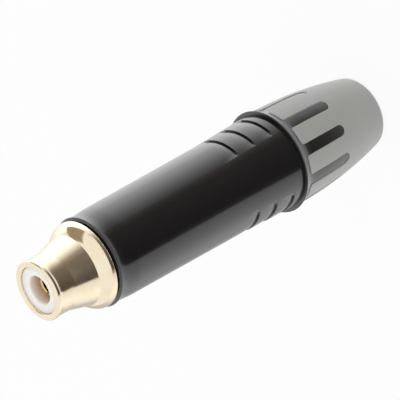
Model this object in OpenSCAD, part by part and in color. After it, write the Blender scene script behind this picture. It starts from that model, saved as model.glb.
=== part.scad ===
// In-line phono socket for a cable: a plated jack screwed into a die-cast shell,
// and a two-shot boot that screws in behind and closes a strain-relief chuck.
// The axis is Z. The rear end of the boot stands at z = 0 and the jack points up.

/* [Jack] */
// Radius of the outer contact over the bead at its tip
bead_r = 4.2; // [4.16:0.01:4.3]
// Length of the bead along the axis
bead_len = 1.1; // [0.9:0.05:1.6]
// Radius of the barrel behind the bead
barrel_r = 4.1; // [4:0.01:4.12]
// Radius that the barrel gains towards the flare
barrel_taper = 0.03; // [0.01:0.01:0.06]
// Length of the barrel between the bead and the flare
barrel_len = 1.65; // [1.4:0.05:3]
// Length of the flare between the barrel and the flange
flare_len = 3.9; // [3.4:0.1:4.2]
// Angle between the axis and the cone that the flare ends in
flare_angle = 20; // [16:1:22]
// Radius of the curve between the barrel and that cone
flare_round = 6; // [4:0.5:7]
// Radius of the flange that seats on the shell
flange_r = 6.12; // [6:0.02:6.2]
// Thickness of the flange at the foot of the flare
flange_t = 1.75; // [1.7:0.05:2.2]
// Radius of the round on the shoulder of the flange
flange_round = 1; // [0.8:0.05:1.1]
// Radius of the screwed spigot over its thread
spigot_r = 4.95; // [4.8:0.01:5]
// Length of the screwed spigot
spigot_len = 4.8; // [4.6:0.1:6]
// Radius of the plain tail behind the thread
tail_r = 4.3; // [4.2:0.02:4.4]
// Length of the plain tail
tail_len = 1.8; // [1.6:0.1:2.4]

/* [Insulators] */
// Radius of the white face inside the bead
face_r = 3.35; // [3.2:0.01:3.4]
// Radius of the hole that the plug's pin enters
pin_hole_r = 1.95; // [1.92:0.01:2.1]
// How far the white face lies behind the tip of the jack
face_recess = 0.3; // [0.1:0.05:0.6]
// Radius of the wider part of the insulator inside the spigot
insulator_foot_r = 3.6; // [3.55:0.01:3.7]
// Thickness of the insulating washer behind the contact
washer_t = 1.3; // [1:0.1:1.8]
// Radius of the boss on the washer that clamps the contact
boss_r = 2.42; // [2.3:0.01:2.5]

/* [Centre contact] */
// Inner radius of the slotted tube, a running fit on a 3.2 mm pin
contact_bore_r = 1.62; // [1.6:0.01:1.65]
// Outer radius of the slotted tube
contact_r = 1.88; // [1.82:0.01:1.89]
// How far the mouth of the tube lies behind the tip of the jack
contact_recess = 2; // [1.2:0.1:3]
// Length of the slots between the spring fingers
slot_len = 5.4; // [4:0.1:6]
// Width of each slot
slot_w = 0.32; // [0.2:0.02:0.4]
// Depth of the pin hole from the tip of the jack
pin_depth = 10.8; // [10:0.1:11]
// Radius of the collar that locks the contact in place
collar_r = 2.4; // [2.2:0.02:2.45]
// Thickness of the collar
collar_t = 0.8; // [0.6:0.05:1]
// Outer radius of the solder cup
cup_r = 1.5; // [1.35:0.05:1.7]
// Radius of the hole in the solder cup
cup_bore_r = 1.05; // [0.8:0.05:1.1]
// Length of the solder cup behind the washer
cup_len = 5; // [4:0.1:6]

/* [Earth lug] */
// Thickness of the stamped lug
lug_t = 0.4; // [0.3:0.05:0.5]
// Inner radius of the ring of the lug
lug_ring_r = 2.3; // [2:0.05:2.6]
// Width of the soldering tail
lug_w = 2; // [1.6:0.1:2.4]
// Length of the soldering tail behind the ring
lug_len = 5.2; // [4:0.1:6.5]
// Radius of the wire hole in the tail
lug_hole_r = 0.55; // [0.4:0.05:0.7]

/* [Shell] */
// Length of the shell between the flange and the boot
shell_len = 33.7; // [32:0.1:38]
// Radius of the shell at the front
shell_front_r = 6.33; // [6.25:0.01:6.5]
// Draft of the shell, as radius gained over its whole length
shell_draft = 0.44; // [0.2:0.02:0.6]
// Extra radius of the bell at the rear edge
bell_rise = 0.28; // [0.1:0.02:0.4]
// Length of the bell
bell_len = 10.6; // [8:0.1:14]
// Radius of the round on the front edge
nose_round = 0.55; // [0.3:0.05:0.7]
// Radius of the hollow inside
cavity_r = 5.35; // [5.2:0.01:5.45]
// Depth of the screwed part at the front
front_thread_len = 5; // [4.9:0.1:6]
// Length of the screwed part at the rear
rear_thread_len = 7.2; // [6.8:0.1:9]
// Radius of the screwed part at the rear
rear_thread_r = 5.75; // [5.7:0.01:5.8]
// Width of the keyways along the hollow
keyway_w = 1.2; // [0.9:0.1:1.6]
// Depth of the keyways from the axis
keyway_r = 5.85; // [5.8:0.01:5.9]

/* [Grip notches] */
// Distance from one notch to the next
notch_pitch = 3.25; // [2.8:0.05:3.5]
// Height of the step that the finger pulls on
notch_depth = 0.25; // [0.15:0.05:0.4]
// Width of a notch, straight across
notch_w = 6.2; // [5:0.1:6.6]
// Radius of the corners of a notch
notch_corner_r = 0.55; // [0.3:0.05:0.8]
// Distance of the last whole notch from the rear edge
notch_rear = 1.65; // [1:0.05:2]

/* [Boot] */
// Length of the boot outside the shell
boot_len = 18.5; // [17.5:0.1:22]
// Radius of the lip that meets the shell
lip_r = 7.62; // [7.4:0.02:7.9]
// Length of the hollow curve behind the lip
lip_len = 2; // [1.6:0.1:3]
// Radius at the waist behind the lip
waist_r = 7.14; // [7:0.02:7.35]
// Radius at the rear end
end_r = 5.2; // [5.1:0.05:5.8]
// Radius of the round at the rear end
end_round = 1.2; // [0.8:0.05:1.3]
// Length of the plain band between the shell and the tabs
band_len = 1.15; // [0.9:0.05:1.6]
// Number of hard fingers between the soft tabs
finger_count = 10; // [8:1:12]
// Width of each finger
finger_w = 1.65; // [1.2:0.05:2]
// Length of each finger behind the band
finger_len = 8.2; // [6:0.1:9]
// How far the fingers lie below the soft skin
finger_drop = 0.12; // [0.05:0.01:0.2]
// Radius of the corners of the soft tabs
tab_corner_r = 0.5; // [0.3:0.05:0.7]
// Radius of the hard core under the soft skin
core_r = 5.9; // [5.8:0.02:6.1]
// Length of the core behind the shell
core_len = 13.5; // [13:0.1:14]
// Length of the screwed spigot of the boot
boot_spigot_len = 6.6; // [6.4:0.1:6.8]
// Radius of the cable hole
cable_r = 3.6; // [3:0.05:3.65]

/* [Chuck] */
// Length of the keyed ring
chuck_ring_len = 2.6; // [2:0.1:3]
// Outer radius of the fingers
chuck_finger_r = 4.6; // [4.5:0.02:4.7]
// Length of the fingers behind the ring
chuck_finger_len = 13.6; // [12:0.1:14]
// Length of the tapered tips
chuck_tip_len = 2.4; // [1.8:0.1:3]
// Radius that the tips taper down to
chuck_tip_r = 4.05; // [4:0.01:4.2]
// Number of slots between the fingers
chuck_slots = 6; // [4:1:8]
// Width of the slots
chuck_slot_w = 0.8; // [0.5:0.05:1.2]
// Depth of the cable teeth
tooth_depth = 0.3; // [0.15:0.05:0.35]
// Pitch of the cable teeth
tooth_pitch = 1.4; // [1:0.1:2]

/* [Liner] */
// Outer radius of the insulating sleeve
liner_r = 4.86; // [4.8:0.01:4.88]
// Length of the guide collar at its rear
liner_collar_len = 2.6; // [2:0.1:3.5]

/* [Fits] */
// Radial clearance of the threads and of sliding or turning parts
run_clear = 0.05; // [0.03:0.01:0.08]
// Radial gap between pieces that are fixed together
fixed_gap = 0.02; // [0.01:0.01:0.03]
// Clearance on each side of a key
key_clear = 0.1; // [0.05:0.05:0.15]
// Axial gap between parts that don't clamp each other
end_gap = 0.1; // [0.05:0.05:0.2]

/* [Hidden] */
$fn = 72;

// Small bevels on turned and moulded edges
edge = 0.2;
thread_edge = 0.3;

// Heights along the axis
shell_z = boot_len;
flange_z = shell_z + shell_len;
flare_z = flange_z + flange_t;
barrel_z = flare_z + flare_len;
bead_z = barrel_z + barrel_len;
tip_z = bead_z + bead_len;
spigot_z = flange_z - spigot_len;
tail_z = spigot_z - tail_len;

// The insulator, the contact and the lug are stacked from the tip
face_z = tip_z - face_recess;
bore_floor_z = tip_z - pin_depth;
collar_z = bore_floor_z;
rolled_t = 0.45;
lug_z = tail_z + rolled_t;
washer_z = lug_z + lug_t;
insulator_z = washer_z + washer_t;
foot_seat = 0.4;
foot_top_z = flange_z + foot_seat;
rolled_r = insulator_foot_r - 0.2;
shank_r = cup_r - 0.2;

// Inside the shell
front_thread_z = flange_z - front_thread_len;
rear_thread_z = shell_z + rear_thread_len;
keyway_angles = [-90, 30, 150];

// The panel between two groups of notches faces -Y, and the third group is opposite
notch_angles = [-24, -156, 90];
notch_rows = 3;

// The chuck's ring lies just ahead of the boot's spigot
chuck_z = shell_z + boot_spigot_len + end_gap;
chuck_top_z = chuck_z + chuck_ring_len;
chuck_end_z = chuck_z - chuck_finger_len;
chuck_ring_r = cavity_r - run_clear;
liner_z = chuck_top_z + end_gap;
liner_top_z = spigot_z - end_gap;

// The groove on the jack's tail that the liner's bead snaps into
snap_w = 0.7;
snap_depth = 0.2;
snap_land = 0.45;
snap_z = spigot_z - snap_land - snap_w;

// Heights on the boot
waist_z = boot_len - lip_len;
tab_z = boot_len - band_len;
core_z = boot_len - core_len;
finger_phase = -85.5;
// How deep the fingers are rooted in the core
finger_root = 0.4;
// How late the side of the boot bends in, and its lip out: 1 is a cone
boot_curve = 2.05;
lip_curve = 1.5;
// Room for the cable in the core
cable_room = 0.4;

function arc(r0, z0, r, from, to, steps = 6) =
  [for (i = [0:steps]) let (a = from + (to - from) * i / steps) [r0 + r * cos(a), z0 + r * sin(a)]];

// Outer radius of the shell at a height above its rear edge
function shell_r(h) =
  shell_front_r + shell_draft * (1 - h / shell_len)
  + (h < bell_len ? bell_rise * pow(1 - h / bell_len, 1.3) : 0);

// Outer radius of the boot at a height above the floor
function boot_r(z) =
  z > waist_z
    ? waist_r + (lip_r - waist_r) * pow((z - waist_z) / lip_len, lip_curve)
    : waist_r - (waist_r - end_r) * pow((waist_z - z) / waist_z, boot_curve);

module turned(points) {
  rotate_extrude() polygon(points);
}

module tube(r_out, r_in, z0, z1) {
  translate([0, 0, z0]) difference() {
    cylinder(r = r_out, h = z1 - z0);
    translate([0, 0, -1]) cylinder(r = r_in, h = z1 - z0 + 2);
  }
}

// A bar along the axis that stands out at one angle
module key(angle, width, r_in, r_out, z0, z1) {
  rotate([0, 0, angle]) translate([r_in, -width / 2, z0]) cube([r_out - r_in, width, z1 - z0]);
}

// One notch: a hollow ramp round the axis, trimmed to a panel with rounded rear corners
module notch(angle, z) {
  steps = 6;
  hollow = 1.6;
  floor_line = [
    for (i = [0:steps]) let (u = i / steps)
      [shell_r(z + u * notch_pitch - shell_z) - notch_depth * pow(1 - u, hollow), z + u * notch_pitch]
  ];
  r_out = shell_r(0) + 1;
  corner_x = notch_w / 2 - notch_corner_r;
  intersection() {
    turned(concat(floor_line, [[r_out, z + notch_pitch], [r_out, z]]));
    rotate([0, 0, angle]) translate([0, 0, z]) rotate([90, 0, 90]) linear_extrude(r_out + 1)
      polygon(concat(
        arc(corner_x, notch_corner_r, notch_corner_r, -90, 0),
        [[notch_w / 2, notch_pitch], [-notch_w / 2, notch_pitch]],
        arc(-corner_x, notch_corner_r, notch_corner_r, 180, 270)
      ));
  }
}

module shell() {
  steps = 12;
  bell = [for (i = [0:steps]) let (h = bell_len * i / steps) [shell_r(h), shell_z + h]];
  nose = arc(shell_r(shell_len) - nose_round, flange_z - nose_round, nose_round, 0, 90);
  front_bore_r = spigot_r + run_clear;
  cavity_top_z = front_thread_z - (cavity_r - spigot_r);
  color("#1d1a1c") difference() {
    turned(concat(
      [[rear_thread_r, shell_z]], bell, nose,
      [
        [front_bore_r, flange_z],
        [front_bore_r, front_thread_z],
        [cavity_r, cavity_top_z],
        [cavity_r, rear_thread_z + (rear_thread_r - cavity_r)],
        [rear_thread_r, rear_thread_z]
      ]
    ));
    for (a = keyway_angles) key(a, keyway_w, cavity_r - 1, keyway_r, shell_z - 1, cavity_top_z);
    for (a = notch_angles, row = [-1:notch_rows - 1])
      notch(a, shell_z + notch_rear + row * notch_pitch);
  }
}

module jack_body() {
  lip_round = 0.42;
  bead_step = bead_r - barrel_r;
  mouth_round = 0.35;
  flange_rim = 0.5;
  flare_top_r = barrel_r + barrel_taper;
  cone_len = flare_len - flare_round * sin(flare_angle);
  flare_rise = flare_round * (1 - cos(flare_angle)) + cone_len * tan(flare_angle);
  color("#e6c98f") turned(concat(
    [[spigot_r, flange_z], [flange_r, flange_z]],
    arc(flange_r - flange_round, flange_z + flange_rim, flange_round, 0, 50),
    [[flare_top_r + flare_rise, flare_z]],
    arc(flare_top_r + flare_round, barrel_z, flare_round, 180 + flare_angle, 180, 10),
    arc(barrel_r, bead_z + bead_step, bead_step, -90, 0, 4),
    arc(bead_r - lip_round, tip_z - lip_round, lip_round, 0, 90),
    arc(face_r + mouth_round, tip_z - mouth_round, mouth_round, 90, 180, 4),
    [
      [face_r, foot_top_z],
      [insulator_foot_r, foot_top_z],
      [insulator_foot_r, lug_z],
      [rolled_r, lug_z],
      [rolled_r, tail_z],
      [tail_r - edge, tail_z],
      [tail_r, tail_z + edge],
      [tail_r, snap_z],
      [tail_r - snap_depth, snap_z],
      [tail_r - snap_depth, snap_z + snap_w],
      [tail_r, snap_z + snap_w],
      [tail_r, spigot_z],
      [spigot_r - thread_edge, spigot_z],
      [spigot_r, spigot_z + thread_edge]
    ]
  ));
}

module jack_insulator() {
  front = face_r - fixed_gap;
  foot = insulator_foot_r - fixed_gap;
  face_edge = 0.12;
  color("#f6f4f2") turned([
    [pin_hole_r + face_edge, face_z],
    [front - face_edge, face_z],
    [front, face_z - face_edge],
    [front, foot_top_z],
    [foot, foot_top_z],
    [foot, insulator_z],
    [boss_r + fixed_gap, insulator_z],
    [boss_r + fixed_gap, collar_z + collar_t],
    [pin_hole_r, collar_z + collar_t],
    [pin_hole_r, face_z - face_edge]
  ]);
}

module centre_contact() {
  mouth_z = tip_z - contact_recess;
  mouth_edge = 0.14;
  cup_z = washer_z - cup_len;
  cup_top_z = washer_z - end_gap;
  cup_floor_t = 0.5;
  cup_floor_z = cup_top_z - cup_floor_t;
  color("#e3c17c") difference() {
    turned([
      [contact_bore_r + mouth_edge, mouth_z],
      [contact_r - mouth_edge / 2, mouth_z],
      [contact_r, mouth_z - edge],
      [contact_r, collar_z + collar_t],
      [collar_r, collar_z + collar_t],
      [collar_r, collar_z],
      [shank_r, collar_z],
      [shank_r, cup_top_z],
      [cup_r, cup_top_z],
      [cup_r, cup_z],
      [cup_bore_r, cup_z],
      [cup_bore_r, cup_floor_z],
      [0, cup_floor_z + cup_bore_r / 2],
      [0, bore_floor_z - contact_bore_r / 2],
      [contact_bore_r, bore_floor_z],
      [contact_bore_r, mouth_z - edge]
    ]);
    for (a = [45, 135])
      rotate([0, 0, a]) translate([-contact_r - 1, -slot_w / 2, mouth_z - slot_len])
        cube([2 * contact_r + 2, slot_w, slot_len + 1]);
    translate([0, -cup_r - 1, cup_z - 1]) cube([cup_r + 1, 2 * cup_r + 2, cup_len * 0.55 + 1]);
  }
}

module rear_washer() {
  foot = insulator_foot_r - fixed_gap;
  hole = shank_r + fixed_gap;
  color("#3b2a1f") turned([
    [hole, washer_z],
    [foot, washer_z],
    [foot, insulator_z],
    [boss_r, insulator_z],
    [boss_r, collar_z],
    [hole, collar_z]
  ]);
}

// The lug's tail is bent down from the ring, inside the rolled edge of the jack
module earth_lug() {
  ring_r = insulator_foot_r - fixed_gap;
  tail_y = sqrt(pow(rolled_r - fixed_gap, 2) - pow(lug_w / 2, 2)) - lug_t;
  corner = 0.5;
  color("#c9c4b6") {
    tube(ring_r, lug_ring_r, lug_z, washer_z);
    translate([0, tail_y + lug_t, lug_z - lug_len]) rotate([90, 0, 0]) linear_extrude(lug_t)
      difference() {
        polygon([
          [-lug_w / 2 + corner, 0],
          [lug_w / 2 - corner, 0],
          [lug_w / 2, corner],
          [lug_w / 2, lug_len + lug_t],
          [-lug_w / 2, lug_len + lug_t],
          [-lug_w / 2, corner]
        ]);
        translate([0, lug_w / 2]) circle(r = lug_hole_r);
      }
  }
}

module liner() {
  bore = tail_r + run_clear;
  collar = cavity_r - run_clear;
  snap_in_r = bore - snap_depth + edge / 2;
  snap_top_z = snap_z + snap_w - end_gap;
  color("#d9d8d2") {
    turned([
      [bore, liner_top_z],
      [bore, snap_top_z],
      [snap_in_r, snap_top_z - edge / 2],
      [snap_in_r, snap_z + end_gap + edge / 2],
      [bore, snap_z + end_gap],
      [bore, liner_z],
      [collar, liner_z],
      [collar, liner_z + liner_collar_len],
      [liner_r, liner_z + liner_collar_len + edge],
      [liner_r, liner_top_z - edge],
      [liner_r - edge, liner_top_z]
    ]);
    for (a = keyway_angles)
      key(a, keyway_w - 2 * key_clear, collar - edge, keyway_r - key_clear, liner_z,
          liner_z + liner_collar_len);
  }
}

module chuck() {
  bore = cable_r + tooth_depth;
  first_z = chuck_end_z + tooth_pitch / 2;
  tooth_count = floor((chuck_finger_len - tooth_pitch) / tooth_pitch);
  // Each tooth is steep towards the cable's end, so that it bites when the cable is pulled
  teeth = [for (i = [0:tooth_count - 1]) let (z = first_z + i * tooth_pitch) each [
    [bore, z],
    [cable_r, z + 0.4 * tooth_pitch],
    [cable_r, z + 0.6 * tooth_pitch],
    [bore, z + 0.7 * tooth_pitch]
  ]];
  color("#202022") difference() {
    union() {
      turned(concat(
        [[bore, chuck_end_z]], teeth,
        [
          [bore, chuck_top_z],
          [chuck_ring_r, chuck_top_z],
          [chuck_ring_r, chuck_z],
          [chuck_finger_r, chuck_z],
          [chuck_finger_r, chuck_end_z + chuck_tip_len],
          [chuck_tip_r, chuck_end_z]
        ]
      ));
      for (a = keyway_angles)
        key(a, keyway_w - 2 * key_clear, chuck_ring_r - edge, keyway_r - key_clear, chuck_z, chuck_top_z);
    }
    for (i = [0:chuck_slots - 1])
      key(i * 360 / chuck_slots, chuck_slot_w, cable_r - 1, chuck_finger_r + 1, chuck_end_z - 1, chuck_z - 1);
  }
}

// The outline of a finger, seen along a radius. Its root's rounds end just inside the band.
module finger_outline(grow) {
  half = finger_w / 2 + grow;
  tip_mid_z = tab_z - finger_len + finger_w / 2;
  root_z = tab_z + fixed_gap - tab_corner_r - grow;
  root_x = half + tab_corner_r;
  polygon(concat(
    arc(0, tip_mid_z, half, 180, 360, 12),
    arc(root_x, root_z, tab_corner_r, 180, 90, 5),
    [[root_x, tab_z + 1], [-root_x, tab_z + 1]],
    arc(-root_x, root_z, tab_corner_r, 90, 0, 5)
  ));
}

module fingers(grow) {
  for (i = [0:finger_count - 1])
    rotate([0, 0, finger_phase + i * 360 / finger_count]) rotate([90, 0, 90])
      translate([0, 0, core_r - finger_root - edge]) linear_extrude(lip_r) finger_outline(grow);
}

// Outline of the boot from its lip down to a height, lowered by a drop
function boot_side(z0, z1, drop, steps) =
  [for (i = [0:steps]) let (z = z1 + (z0 - z1) * i / steps) [boot_r(z) - drop, z]];

module boot_core() {
  spigot_top_z = shell_z + boot_spigot_len;
  screw_r = rear_thread_r - run_clear;
  seat_r = chuck_finger_r + run_clear;
  seat_z = chuck_end_z - end_gap;
  cable_hole_r = cable_r + cable_room;
  lip_edge = 0.08;
  ring_r = core_r - finger_root;
  ring_z = tab_z + finger_root;
  ring_end_z = tab_z - finger_len - finger_root;
  // The band falls from the lip to the level of the fingers
  steps = 6;
  band = [
    for (i = [0:steps]) let (u = i / steps, z = boot_len - lip_edge + (tab_z - boot_len + lip_edge) * u)
      [boot_r(z) - finger_drop * u, z]
  ];
  color("#232021") {
    turned(concat(
      [
        [seat_r, spigot_top_z],
        [screw_r - thread_edge, spigot_top_z],
        [screw_r, spigot_top_z - thread_edge],
        [screw_r, boot_len],
        [lip_r - lip_edge, boot_len]
      ],
      band,
      [
        [core_r, tab_z],
        [core_r, core_z],
        [cable_hole_r, core_z],
        [cable_hole_r, seat_z],
        [chuck_tip_r + run_clear, seat_z],
        [seat_r, seat_z + chuck_tip_len]
      ]
    ));
    intersection() {
      turned(concat(
        [[ring_r, ring_z], [boot_r(tab_z) - finger_drop, ring_z]],
        boot_side(ring_end_z, tab_z, finger_drop, 5),
        [[ring_r, ring_end_z]]
      ));
      fingers(-fixed_gap);
    }
  }
}

module boot_grip() {
  lean = atan((waist_r - end_r) * boot_curve / waist_z);
  side_end_z = end_round * (1 - sin(lean));
  hole_edge = 0.15;
  color("#a9aaa4") difference() {
    turned(concat(
      [[core_r + fixed_gap, tab_z]],
      boot_side(side_end_z, tab_z, 0, 14),
      arc(boot_r(side_end_z) - end_round * cos(lean), end_round, end_round, -lean, -90),
      [
        [cable_r + hole_edge, 0],
        [cable_r, hole_edge],
        [cable_r, core_z],
        [core_r + fixed_gap, core_z]
      ]
    ));
    fingers(0);
  }
}

shell();
jack_body();
jack_insulator();
centre_contact();
rear_washer();
earth_lug();
liner();
chuck();
boot_core();
boot_grip();
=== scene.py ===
"""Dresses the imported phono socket: turned and moulded pieces, their finishes, the stage and the camera."""

import math
from types import SimpleNamespace

import bpy
from mathutils import Euler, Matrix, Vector


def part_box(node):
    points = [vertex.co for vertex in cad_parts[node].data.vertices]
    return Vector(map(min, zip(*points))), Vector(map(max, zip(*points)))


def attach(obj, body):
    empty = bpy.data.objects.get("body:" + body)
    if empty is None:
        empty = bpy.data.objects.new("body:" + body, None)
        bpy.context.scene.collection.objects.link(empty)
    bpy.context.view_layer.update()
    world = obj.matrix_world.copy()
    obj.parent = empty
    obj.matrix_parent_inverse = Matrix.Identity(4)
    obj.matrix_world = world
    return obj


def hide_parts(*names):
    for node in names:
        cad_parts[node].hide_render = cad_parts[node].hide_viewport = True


bl_info = {
    "name": "Phono Socket",
    "version": (1, 0, 0),
    "blender": (4, 5, 0),
    "location": "View3D > Sidebar > Phono Socket",
    "description": "Builds the visible pieces of an in-line phono socket on its packed frame",
    "category": "Object",
}

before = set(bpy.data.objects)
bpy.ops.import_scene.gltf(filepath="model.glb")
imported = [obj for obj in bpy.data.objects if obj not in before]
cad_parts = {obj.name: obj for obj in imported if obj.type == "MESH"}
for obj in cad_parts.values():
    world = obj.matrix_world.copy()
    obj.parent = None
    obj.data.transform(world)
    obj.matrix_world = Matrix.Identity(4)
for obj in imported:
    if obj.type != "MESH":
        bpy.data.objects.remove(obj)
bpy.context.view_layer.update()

MM = 0.001
WELD = 0.002 * MM

# Stations along the axis, in mm, as the solids have them
SHELL_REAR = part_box("shell")[0].z / MM
SHELL_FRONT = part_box("shell")[1].z / MM
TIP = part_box("jack_body")[1].z / MM
JACK_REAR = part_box("jack_body")[0].z / MM
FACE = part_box("jack_insulator")[1].z / MM
FACE_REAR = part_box("jack_insulator")[0].z / MM
SPIGOT_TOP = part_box("boot_core")[1].z / MM
CORE_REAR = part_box("boot_core")[0].z / MM
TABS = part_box("boot_grip")[1].z / MM


def length(name, value, description):
    """A size in mm as a length property."""
    return bpy.props.FloatProperty(
        name=name, description=description, default=value * MM, min=0.0, unit="LENGTH", precision=5
    )


def colour(name, value, description):
    """A colour written as a hex string."""
    return bpy.props.StringProperty(name=name, description=description, default=value)


def in_mm(group):
    """The lengths of a property group, in mm."""
    return SimpleNamespace(**{key: getattr(group, key) / MM for key in group.__annotations__})


class JackSizes(bpy.types.PropertyGroup):
    bead: length("Bead radius", 4.2, "Outer contact over the bead at its tip")
    barrel: length("Barrel radius", 4.1, "Outer contact behind the bead")
    barrel_taper: length("Barrel taper", 0.03, "Radius that the barrel gains towards the neck")
    bead_round: length("Bead round", 0.25, "Front round of the bead")
    bead_crest: length("Bead crest", 0.25, "Straight part of the bead")
    bead_ramp: length("Bead ramp", 0.8, "Hollow curve from the barrel up to the bead")
    neck: length("Neck", 2.64, "From the tip to where the neck starts to widen")
    neck_round: length("Neck round", 2.0, "Curve from the barrel into the neck's cone")
    flange: length("Flange radius", 6.12, "Flange that seats on the shell")
    flange_rim: length("Flange rim", 0.6, "Straight part of the flange's rim")
    shoulder: length("Shoulder round", 2.85, "Round of the flange's shoulder, from its rim to the neck")
    face: length("Face radius", 3.35, "White face inside the bead")
    pin_hole: length("Pin hole radius", 1.95, "Hole that the plug's pin enters")
    foot: length("Foot radius", 3.6, "Wider part of the insulator inside the spigot")
    spigot: length("Spigot radius", 4.95, "Screwed spigot over its thread")
    spigot_length: length("Spigot length", 4.8, "Screwed spigot behind the flange")
    tail: length("Tail radius", 4.3, "Plain tail behind the thread")
    pitch: length("Thread pitch", 0.75, "Pitch of the jack's thread")


class ShellSizes(bpy.types.PropertyGroup):
    front: length("Front radius", 6.33, "Shell at its front edge")
    draft: length("Draft", 0.44, "Radius gained over the whole length")
    bell_rise: length("Bell rise", 0.28, "Extra radius at the rear edge")
    bell_length: length("Bell length", 10.6, "Length of the bell")
    front_lip: length("Front lip", 0.16, "Height that the shell flares out by at its front edge")
    front_waist: length("Front waist", 0.12, "Radius lost behind the front lip")
    front_lip_length: length("Front lip length", 1.2, "Hollow curve up to the front lip")
    front_end: length("Front end", 0.52, "Sloped end face, from the lip to the foremost edge")
    cavity: length("Cavity radius", 5.35, "Hollow inside")
    front_bore: length("Front bore radius", 5.0, "Screwed part at the front")
    front_depth: length("Front bore depth", 5.0, "Depth of the front bore")
    rear_bore: length("Rear bore radius", 5.75, "Screwed part at the rear")
    rear_depth: length("Rear bore depth", 7.2, "Depth of the rear bore")
    keyway: length("Keyway depth", 5.85, "Depth of the keyways from the axis")
    keyway_width: length("Keyway width", 1.2, "Width of the keyways")
    notch_pitch: length("Notch pitch", 3.25, "From one finger notch to the next")
    notch_depth: length("Notch depth", 0.25, "Height of the step")
    notch_width: length("Notch width", 6.2, "Width straight across")
    notch_corner: length("Notch corner", 0.55, "Round of the rear corners")
    notch_rear: length("Notch distance", 1.65, "Last whole notch to the rear edge")
    notch_edge: length("Notch edge", 0.15, "Round on the edge of a step")


class BootSizes(bpy.types.PropertyGroup):
    lip: length("Lip radius", 7.61, "Lip that meets the shell")
    lip_length: length("Lip length", 2.0, "Hollow curve behind the lip")
    lip_edge: length("Lip edge", 0.08, "Round on the edge of the lip")
    waist: length("Waist radius", 7.14, "Waist behind the lip")
    end: length("End radius", 5.2, "Boot at its rear end")
    end_round: length("End round", 1.2, "Round at the rear end")
    finger: length("Finger width", 1.65, "Width of a hard finger")
    finger_length: length("Finger length", 8.2, "From the band to the round tip")
    finger_drop: length("Finger drop", 0.12, "Fingers and band below the soft skin")
    tab_corner: length("Tab corner", 0.5, "Round of the soft tabs' corners")
    tab_edge: length("Tab edge", 0.1, "Soft edge of the skin round the fingers")
    core: length("Core radius", 5.9, "Hard core under the skin")
    skin_gap: length("Skin gap", 0.02, "Between core and skin")
    core_hole: length("Core hole radius", 4.0, "Hole through the hard core")
    seat: length("Seat radius", 4.65, "Bore that the chuck sits in")
    screw: length("Screw radius", 5.7, "Screwed spigot over its thread")
    pitch: length("Thread pitch", 1.0, "Pitch of the boot's thread")
    cable: length("Cable hole radius", 3.6, "Hole for the cable")


class FinishColours(bpy.types.PropertyGroup):
    paint: colour("Paint", "0B090E", "Satin black paint of the shell")
    dust: colour("Dust", "8F8C8C", "Specks of dust on the paint")
    gold: colour("Gold", "F6ECDA", "Pale gold plating of the jack")
    deep_gold: colour("Deep gold", "F1DDB9", "Jack where the plating is thicker")
    contact: colour("Contact", "E3C17C", "Gold plating of the centre contact")
    face: colour("Face", "FDF9F2", "White moulded insulator")
    # Painted reflection and shade: a warmer, darker tint that stands in for the gold contact's light and the
    # shade deep in the hole
    hole: colour("Hole", "EBCBAC", "Insulator inside its hole, by the gold contact")
    core: colour("Core", "100E10", "Hard black plastic of the boot")
    skin: colour("Skin", "ACADAA", "Soft grey skin of the boot")
    nylon: colour("Nylon", "D9D8D2", "Natural nylon of the liner")
    chuck: colour("Chuck", "202022", "Black nylon of the chuck")
    washer: colour("Washer", "3B2A1F", "Brown laminated washer")
    tin: colour("Tin", "C9C4B6", "Tin plating of the lug")


# The details below that aren't in a property group are in mm, degrees, powers of a curve or steps

# How far a vertex may lie off a surface or a height that it belongs to
NEAR = 0.01
CHAMFER = 0.1

# A thread's ridge: how deep its foot is sunk, the halves of its foot and crest as shares of the pitch,
# and the steps of a turn
THREAD_SINK = 0.06
THREAD_HALVES = (0.46, 0.08)
THREAD_STEPS = 64

BELL_CURVE = 1.3
# The waist behind the shell's front lip: where it starts behind the lip, and over what length
WAIST_START = 2.2
WAIST_RUN = 2.4
REAR_EDGE = 0.12
REAR_CHAMFER = 0.15
FRONT_EDGE = 0.06
FRONT_SLOPE = 65

# The middles of the groups of notches, the half angle that is modelled finely for one, and the part of
# that half in which a notch is the same all along
NOTCH_ANGLES = (-24.0, 90.0, 204.0)
NOTCH_HALF_ANGLE = 28.5
NOTCH_EVEN_ANGLE = 20.5
NOTCH_SIDE_STEPS = 26
# Curve of the ramp that a notch's floor makes
NOTCH_HOLLOW = 3.0
# Rows of vertices by their height above a step, then further on, and behind the front lip
STEP_ROWS = (
    -0.19, -0.15, -0.11, -0.075, -0.045, -0.022, -0.004, 0.011, 0.05, 0.1, 0.16, 0.23, 0.31, 0.4, 0.5, 0.62,
    0.8, 1.05, 1.35, 1.7, 2.1, 2.6,
)
PLAIN_ROW = 1.6
PLAIN_ROWS = 12
LIP_ROW = 0.2
LIP_ROWS = 20
KEYWAY_ANGLES = (30.0, 150.0, 270.0)
KEYWAY_WALL_ANGLE = 0.2

NECK_ANGLE = 14.5
# The part of the shoulder's round that is used, from the flange's rim to the neck
SHOULDER_ANGLES = (18.0, 55.6)
FLANGE_EDGE = 0.08
CREST_MARGIN = 0.03
MOUTH_ROUND = 0.15
JACK_THREAD_DEPTH = 0.43
JACK_THREAD_ENDS = (0.15, 0.35)
# The groove in the jack's tail that the liner snaps into, and the edge rolled over the earth lug
SNAP_DROP = 1.15
SNAP_WIDTH = 0.7
SNAP_DEPTH = 0.2
ROLL_LENGTH = 0.45
ROLL_DEPTH = 0.2
TAIL_CHAMFER = 0.2
# The insulator: the step that it seats on, its gap, its rounds, and its bore for the contact's collar
STEP_HEIGHT = 0.4
FACE_GAP = 0.02
HOLE_ROUND = 0.3
FACE_ROUND = 0.12
COLLAR_BORE = 2.44
COLLAR_DEPTH = 10.0

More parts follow.
